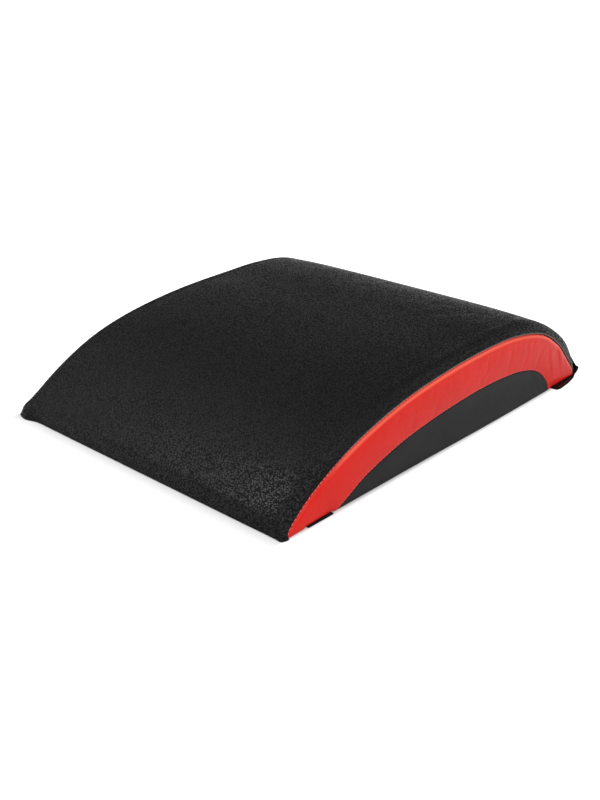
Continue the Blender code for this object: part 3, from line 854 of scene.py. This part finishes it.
def make_foam(material):
    """The foam block inside the cover."""
    grid = Skin(np.linspace(*FOAM_RUN, 110)).across(places_across(41, np.array(FOAM_TURNS)))
    upper = grid - normals_of(grid) * FOAM_INSET
    floor = base_height(upper[..., 0], upper[..., 1]) + FOAM_INSET
    upper[..., 2] = np.maximum(upper[..., 2], floor + GAP)
    upper[..., 1] = np.clip(upper[..., 1], BASE_FRONT, BASE_REAR)
    lower = upper.copy()
    lower[..., 2] = base_height(lower[..., 0], lower[..., 1]) + FOAM_INSET
    points, faces = closed(upper, lower)
    item = new_piece("foam_block", points, faces, "mat", material, ["foam_core"])


def make_base(material):
    """The non-slip fabric under the foam."""
    edge = HALF - SHELL - GAP
    xs = np.linspace(-edge, edge, 121)
    ys = np.linspace(BASE_FRONT, BASE_REAR, 181)
    x, y = np.meshgrid(xs, ys)
    lower = np.stack([x, y, base_height(x, y)], -1)
    upper = lower + np.array([0, 0, SHELL])
    points, faces = closed(upper, lower)
    new_piece("base_fabric_panel", points, faces, "mat", material, ["base_panel"])


def make_strip(material):
    """The grip strip, with rounded edges."""
    low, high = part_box("front_grip_strip")
    thick = high.z - low.z
    section = []
    for y, start in ((STRIP_REAR - thick / 2, -90), (STRIP_FRONT + thick / 2, 90)):
        section.extend(arc((y, thick / 2), thick / 2, start, start + 180, 7))
    xs = np.linspace(-STRIP_HALF, STRIP_HALF, 121)
    rows = np.array([[(x, y, z) for y, z in section + section[:1]] for x in xs])
    rows, columns = rows.reshape(len(xs), -1, 3), len(section) + 1
    faces = grid_faces(len(xs), columns)
    faces.append(tuple(range(columns - 1)))
    faces.append(tuple(reversed(range((len(xs) - 1) * columns, len(xs) * columns - 1))))
    new_piece("grip_strip", rows, faces, "mat", material, ["front_grip_strip"])


def flap_line():
    """Side-view centreline of the hem and flap, from the hem's top edge to the flap's free edge."""
    hem = [(DEPTH + reach, height) for reach, height in HEM_PATH]
    turn = [(FOLD_LINE - 0.0020, 0.0010), (FOLD_LINE - 0.0060, FLAP_THICKNESS / 2 + 0.0001)]
    flat = [(y, FLAP_THICKNESS / 2) for y in np.linspace(FOLD_LINE - 0.0110, FLAP_EDGE - FLAP_PROUD, 8)]
    return smooth(hem + turn + flat, 30)


def overhang(y):
    """How far the flap stands out past the mat's sides, from the fold to its free edge."""
    shares, overs = zip(*FLAP_OVERHANG_SHARES)
    reach = np.clip((FOLD_LINE - y) / (FOLD_LINE - FLAP_EDGE), 0, 1)
    return FLAP_OVERHANG * np.interp(reach, shares, overs)


def make_flap(material):
    """The hem behind the foam and the flap below it, as one sheet folded under along the hinge line."""
    line = even(flap_line(), 96)
    reached = reach_along(line)
    on_flap = reached > reached[np.argmin(np.abs(line[:, 0] - FOLD_LINE))]
    fold_half = HALF + overhang(FOLD_LINE)
    hem_half = fold_half + (HEM_HALF - fold_half) * ease(line[:, 1], 0, HEM_FLARE_HEIGHT)
    half = np.where(on_flap, HALF + overhang(line[:, 0]), hem_half)
    half = running_mean(half, 2, mode="edge")
    outer = np.concatenate([np.linspace(0.9, 0.995, 22), [1]])
    xs = np.concatenate([-outer[::-1], np.linspace(-0.88, 0.88, 61), outer])
    x = half[:, None] * xs[None, :]
    y = np.repeat(line[:, :1], len(xs), 1)
    z = np.repeat(line[:, 1:], len(xs), 1)
    end = ease(np.abs(x), HEM_HALF - HEM_DROP, HEM_HALF)
    on_hem = ease(y, *HEM_FALL_REACH) * ease(z, *HEM_FALL_HEIGHT)
    z = z - HEM_END_FALL * end * on_hem
    middle = np.stack([x, y, z], -1)
    normals = normals_of(middle)
    thick = np.where(on_flap, FLAP_THICKNESS, HEM_THICKNESS)[:, None] / 2 * np.ones_like(x)
    thick[:, [0, -1]] = SHEET_EDGE
    thick[[0, -1]] = SHEET_EDGE
    points, faces = closed(middle + normals * thick[..., None], middle - normals * thick[..., None])
    item = new_piece("rear_flap", points, faces, None, material,
                     ["rear_hem", "closure_flap"])
    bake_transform(item)


def make_tape(name, node, body, material):
    """One half of the fastening, thinner along its rim."""
    low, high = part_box(node)
    xs = np.linspace(low.x, high.x, 81)
    ys = np.linspace(low.y - FRONT, high.y - FRONT, 13)
    x, y = np.meshgrid(xs, ys)
    edge = np.minimum.reduce([x - xs[0], xs[-1] - x, y - ys[0], ys[-1] - y])
    rim = TAPE_RIM * (1 - ease(edge, 0, TAPE_RIM_REACH))
    upper = np.stack([x, y, high.z - rim], -1)
    lower = np.stack([x, y, low.z + rim], -1)
    points, faces = closed(upper, lower)
    new_piece(name, points, faces, body, material, [node])


def make_flap_stitches(hand, sign, material):
    """Stitches along one end of the flap."""
    low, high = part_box(f"flap_hem_thread_{hand}")
    ys = np.linspace(high.y - FRONT - FLAP_STITCH_START, low.y - FRONT, 12)
    xs = HALF + overhang(ys) - FLAP_STITCH_INSET
    path = np.stack([sign * xs, ys, np.full_like(ys, FLAP_THICKNESS)], -1)
    upwards = np.tile([0.0, 0, 1], (len(ys), 1))
    stitches(f"flap_stitches_{hand}", path, upwards, "flap", material,
             [f"flap_hem_thread_{hand}"], FLAP_STITCH_RADIUS)


def shader_of(name, colour, roughness):
    """A material with its node tree and Principled shader, and places on the object in metres."""
    material = bpy.data.materials.new(name)
    material.use_nodes = True
    tree = material.node_tree
    shader = tree.nodes["Principled BSDF"]
    shader.inputs["Base Color"].default_value = (*colour, 1)
    shader.inputs["Roughness"].default_value = roughness
    return material, tree, shader, node(tree, "ShaderNodeTexCoord").outputs["Object"]


def node(tree, kind, inputs=None, **settings):
    """A new node with its settings and inputs. An input is a value or another node's output."""
    made = tree.nodes.new(kind)
    for key, value in settings.items():
        setattr(made, key, value)
    for key, value in (inputs or {}).items():
        if isinstance(value, bpy.types.NodeSocket):
            tree.links.new(value, made.inputs[key])
        else:
            made.inputs[key].default_value = value
    return made


def math_node(tree, operation, a, b):
    """The result of a sum or another operation on two values."""
    return node(tree, "ShaderNodeMath", {0: a, 1: b}, operation=operation).outputs[0]


def vector_node(tree, operation, *inputs):
    """The outputs of an operation on vectors."""
    return node(tree, "ShaderNodeVectorMath", dict(enumerate(inputs)), operation=operation).outputs


def noise(tree, place, scale, detail):
    """The outputs of a noise."""
    return node(tree, "ShaderNodeTexNoise", {"Vector": place, "Scale": scale, "Detail": detail}).outputs


def bumped(tree, height, strength, distance, **others):
    """A normal that follows a height."""
    inputs = {"Height": height, "Strength": strength, "Distance": distance, **others}
    return node(tree, "ShaderNodeBump", inputs).outputs["Normal"]


def plug(tree, shader, sources):
    """Links outputs to the shader's inputs by their names."""
    for name, source in sources.items():
        tree.links.new(source, shader.inputs[name])


def ramp(tree, source, low, high, start, end, kind="LINEAR"):
    """Maps a value from low..high to start..end."""
    limits = {"Value": source, "From Min": low, "From Max": high, "To Min": start, "To Max": end}
    return node(tree, "ShaderNodeMapRange", limits, interpolation_type=kind).outputs["Result"]


def tinted(tree, source, dark, light):
    """A colour between the dark and the light one, by a value from 0 to 1."""
    mix = node(tree, "ShaderNodeMix", data_type="RGBA")
    tree.links.new(source, mix.inputs["Factor"])
    mix.inputs["A"].default_value = (*dark, 1)
    mix.inputs["B"].default_value = (*light, 1)
    return mix.outputs["Result"]


def highlighted_colour(tree, colour, highlight_paint):
    """The colour, lightened towards a painted highlight colour where the mesh's attribute marks a painted
    highlight.
    """
    # The attribute read here holds the painted highlights along the seams
    painted_highlight = node(tree, "ShaderNodeAttribute", attribute_name="painted_highlight").outputs["Fac"]
    mix = node(tree, "ShaderNodeMix", {"Factor": painted_highlight}, data_type="RGBA")
    tree.links.new(colour, mix.inputs["A"])
    mix.inputs["B"].default_value = (*highlight_paint, 1)
    return mix.outputs["Result"]


def grained_material():
    """Black leatherette with a fine pebbled grain, and a highlight painted in a lighter colour where the
    mesh marks one.
    """
    material, tree, shader, place = shader_of("grained_leatherette", (0.010, 0.010, 0.0105), 0.5)
    warp = noise(tree, place, 380.0, 2.0)["Color"]
    bend = vector_node(tree, "MULTIPLY", warp, (GRAIN_BEND,) * 3)[0]
    bent = vector_node(tree, "ADD", place, bend)[0]
    cells = {"Vector": bent, "Scale": GRAIN_SCALE, "Smoothness": 0.15}
    cells = node(tree, "ShaderNodeTexVoronoi", cells, feature="SMOOTH_F1").outputs["Distance"]
    fine = noise(tree, place, 2600.0, 3.0)["Fac"]
    broad = noise(tree, place, 26.0, 3.0)["Fac"]
    dome = ramp(tree, cells, *GRAIN_DOME, 1.0, 0.0, "SMOOTHSTEP")
    pebbled = bumped(tree, dome, 1.0, GRAIN_HEIGHT)
    normal = bumped(tree, fine, 0.1, 0.00008, Normal=pebbled)
    colour = highlighted_colour(tree, tinted(tree, dome, *GRAINED_BLACK), BLACK_HIGHLIGHT_PAINT)
    polish = ramp(tree, broad, *NOISE_RANGE, *GRAIN_POLISH)
    matt = node(tree, "ShaderNodeMix", {"Factor": dome, "A": GRAIN_ROUGHNESS, "B": polish})
    plug(tree, shader, {"Normal": normal, "Base Color": colour, "Roughness": matt.outputs["Result"]})
    shader.inputs["Specular IOR Level"].default_value = 0.13
    return material


def smooth_material(name, dark, light, roughness, specular, grain=0.00006, highlight_paint=None):
    """Smooth leatherette or rubber with a faint grain and slight unevenness, and a highlight painted in a
    lighter colour where one is given and the mesh marks it.
    """
    material, tree, shader, place = shader_of(name, light, roughness)
    cells = {"Vector": place, "Scale": 1500.0, "Smoothness": 1.0}
    cells = node(tree, "ShaderNodeTexVoronoi", cells, feature="SMOOTH_F1").outputs["Distance"]
    fine = noise(tree, place, 900.0, 4.0)["Fac"]
    broad = noise(tree, place, 34.0, 3.0)["Fac"]
    grained = bumped(tree, cells, 0.35, grain)
    normal = bumped(tree, broad, 0.35, 0.0006, Normal=grained)
    colour = tinted(tree, ramp(tree, broad, *NOISE_RANGE, 0.0, 1.0), dark, light)
    if highlight_paint:
        colour = highlighted_colour(tree, colour, highlight_paint)
    matt = ramp(tree, fine, *NOISE_RANGE, roughness - 0.05, roughness + 0.06)
    plug(tree, shader, {"Normal": normal, "Base Color": colour, "Roughness": matt})
    shader.inputs["Specular IOR Level"].default_value = specular
    return material


def woven_material(name, dark, light, pitch, roughness=0.85):
    """A plain weave of crossing yarns. A wave node turns by 20 radians for each unit of its scale."""
    material, tree, shader, place = shader_of(name, light, roughness)
    turns = 2 * math.pi / pitch / 20
    yarn = {"Vector": place, "Scale": turns, "Distortion": 0.4, "Detail": 1.0}
    warp = node(tree, "ShaderNodeTexWave", yarn, bands_direction="X").outputs["Fac"]
    weft = node(tree, "ShaderNodeTexWave", yarn, bands_direction="Y").outputs["Fac"]
    yarns = math_node(tree, "MAXIMUM", warp, weft)
    broad = noise(tree, place, 60.0, 4.0)["Fac"]
    normal = bumped(tree, yarns, 0.8, pitch / 5)
    colour = tinted(tree, math_node(tree, "MULTIPLY", yarns, broad), dark, light)
    matt = ramp(tree, broad, *NOISE_RANGE, roughness - 0.08, roughness + 0.05)
    plug(tree, shader, {"Normal": normal, "Base Color": colour, "Roughness": matt})
    return material


def thread_material(name, dark, light):
    """Sewing thread with its twist."""
    material, tree, shader, place = shader_of(name, light, 0.55)
    twist = {"Vector": place, "Scale": 900.0, "Distortion": 1.0}
    twist = node(tree, "ShaderNodeTexWave", twist, bands_direction="DIAGONAL").outputs["Fac"]
    normal = bumped(tree, twist, 0.6, 0.00008)
    plug(tree, shader, {"Normal": normal, "Base Color": tinted(tree, twist, dark, light)})
    shader.inputs["Sheen Weight"].default_value = 0.2
    return material


def foam_material():
    """Grey foam with fine cells."""
    material, tree, shader, place = shader_of("cut_foam", (0.28, 0.28, 0.29), 0.95)
    cells = {"Vector": place, "Scale": 1100.0}
    cells = node(tree, "ShaderNodeTexVoronoi", cells).outputs["Distance"]
    normal = bumped(tree, cells, 0.8, 0.0003)
    plug(tree, shader, {"Normal": normal, "Base Color": tinted(tree, cells, *FOAM)})
    return material


def make_camera():
    """The camera of the main view."""
    data = bpy.data.cameras.new("view")
    data.lens = LENS
    data.sensor_width = SENSOR
    data.clip_start = 0.01
    camera = bpy.data.objects.new("view", data)
    turn = Matrix.Rotation(AZIMUTH, 4, "Z") @ Matrix.Rotation(math.pi / 2 - ELEVATION, 4, "X")
    camera.matrix_world = Matrix.Translation(EYE) @ turn @ Matrix.Rotation(ROLL, 4, "Z")
    bpy.context.scene.collection.objects.link(camera)
    bpy.context.scene.camera = camera


def make_lamp(name, place, size, power):
    """A soft lamp that faces the mat."""
    data = bpy.data.lights.new(name, "AREA")
    data.shape = "RECTANGLE"
    data.size, data.size_y = size
    data.energy = power
    lamp = bpy.data.objects.new(name, data)
    lamp.location = place
    lamp.rotation_euler = (Vector(AIM) - Vector(place)).to_track_quat("-Z", "Y").to_euler()
    bpy.context.scene.collection.objects.link(lamp)


def make_floor():
    """A pale floor with the mat's real shadow on it, and a glow for camera, glossy and transmission rays
    that is held back near the mat's footprint, which paints a shadow band round it, and shows white
    further away.
    """
    mesh = bpy.data.meshes.new("floor")
    far = FLOOR_HALF
    corners = [(-far, -far, 0), (far, -far, 0), (far, far, 0), (-far, far, 0)]
    mesh.from_pydata(corners, [], [(0, 1, 2, 3)])
    floor = bpy.data.objects.new("floor", mesh)
    bpy.context.scene.collection.objects.link(floor)
    material, tree, shader, place = shader_of("floor", (FLOOR_ALBEDO,) * 3, 0.9)
    shader.inputs["Specular IOR Level"].default_value = 0.1
    path = node(tree, "ShaderNodeLightPath").outputs
    seen = math_node(tree, "ADD", path["Is Camera Ray"], path["Is Glossy Ray"])
    seen = math_node(tree, "MAXIMUM", seen, path["Is Transmission Ray"])
    # The glow rises from nothing at the mat's footprint, so a painted shadow lies beside the mat: narrower
    # at the sides and shifted so that little of it lies behind
    way = vector_node(tree, "ADD", place, (0, FLOOR_REAR_START, 0))[0]
    way = vector_node(tree, "ABSOLUTE", way)[0]
    way = vector_node(tree, "SUBTRACT", way, (HALF, DEPTH / 2 - FLOOR_REAR_START, 0))[0]
    way = vector_node(tree, "MAXIMUM", way, (0, 0, 0))[0]
    way = vector_node(tree, "MULTIPLY", way, (FLOOR_SIDE_WEIGHT, 1, 1))[0]
    away = vector_node(tree, "LENGTH", way)["Value"]
    near = ramp(tree, away, 0.0, FLOOR_PAINTED_SHADOW_REACH, 0.0, FLOOR_GLOW)
    far = ramp(tree, away, *FLOOR_FAR_REACH, 0.0, FLOOR_FAR_GLOW)
    shader.inputs["Emission Color"].default_value = (1, 1, 1, 1)
    glow = math_node(tree, "MULTIPLY", seen, math_node(tree, "ADD", near, far))
    plug(tree, shader, {"Emission Strength": glow})
    mesh.materials.append(material)


def make_world():
    """A white sweep round the horizon, dimmer on the +X side, under a dark ceiling."""
    world = bpy.data.worlds.new("studio")
    world.use_nodes = True
    tree = world.node_tree
    soft = tree.nodes["Background"]
    soft.inputs["Color"].default_value = (1, 1, 1, 1)
    way = node(tree, "ShaderNodeTexCoord").outputs["Generated"]
    parts = node(tree, "ShaderNodeSeparateXYZ", {"Vector": way}).outputs
    rise = ramp(tree, parts["Z"], SWEEP_TOP, SWEEP_END, 1.0, WORLD_STRENGTH)
    side = ramp(tree, parts["X"], *SWEEP_SIDE_REACH, 1.0, SWEEP_SIDE_SHARE)
    tree.links.new(math_node(tree, "MULTIPLY", rise, side), soft.inputs["Strength"])
    bpy.context.scene.world = world
    bpy.context.scene.view_settings.view_transform = "Standard"


def main():
    """The stage, then the mat piece by piece."""
    make_camera()
    make_world()
    make_floor()
    for name, (place, size, power) in LAMPS.items():
        make_lamp(name, place, size, power)

    # The red leatherette takes the colour of the highlight painted along its upper edge
    red = smooth_material("red_leatherette", *RED, 0.30, 0.08, 0.00004, RED_HIGHLIGHT_PAINT)
    black = smooth_material("smooth_black", *SMOOTH_BLACK, 0.50, 0.08)
    trim = smooth_material("hem_black", *DEEP_BLACK, 0.45, 0.10)
    rubber = smooth_material("grip_rubber", *DEEP_BLACK, 0.70, 0.10)
    red_thread = thread_material("red_thread", *RED_THREAD)
    black_thread = thread_material("black_thread", *BLACK_THREAD)
    fabric = woven_material("base_fabric", *BASE_FABRIC, 0.0009)
    tape = woven_material("fastening_tape", *TAPE, 0.0006, 0.9)

    skin = Skin(lip_marks())
    make_cover(skin, grained_material())
    arch = even(band_feet(skin)[1], 180)
    band_form = band_swell()
    crescent_form = crescent_swell(arch)
    for hand, sign in (("right", 1), ("left", -1)):
        make_band(skin, hand, sign, band_form, red)
        make_crescent(arch, hand, sign, crescent_form, black)
        make_side_stitches(skin, hand, sign, red_thread)
        make_flap_stitches(hand, sign, black_thread)
    make_foam(foam_material())
    make_base(fabric)
    make_strip(rubber)
    make_flap(trim)
    make_tape("hook_tape", "flap_hook_tape", "flap", tape)
    make_tape("loop_tape", "base_loop_tape", "mat", tape)


main()
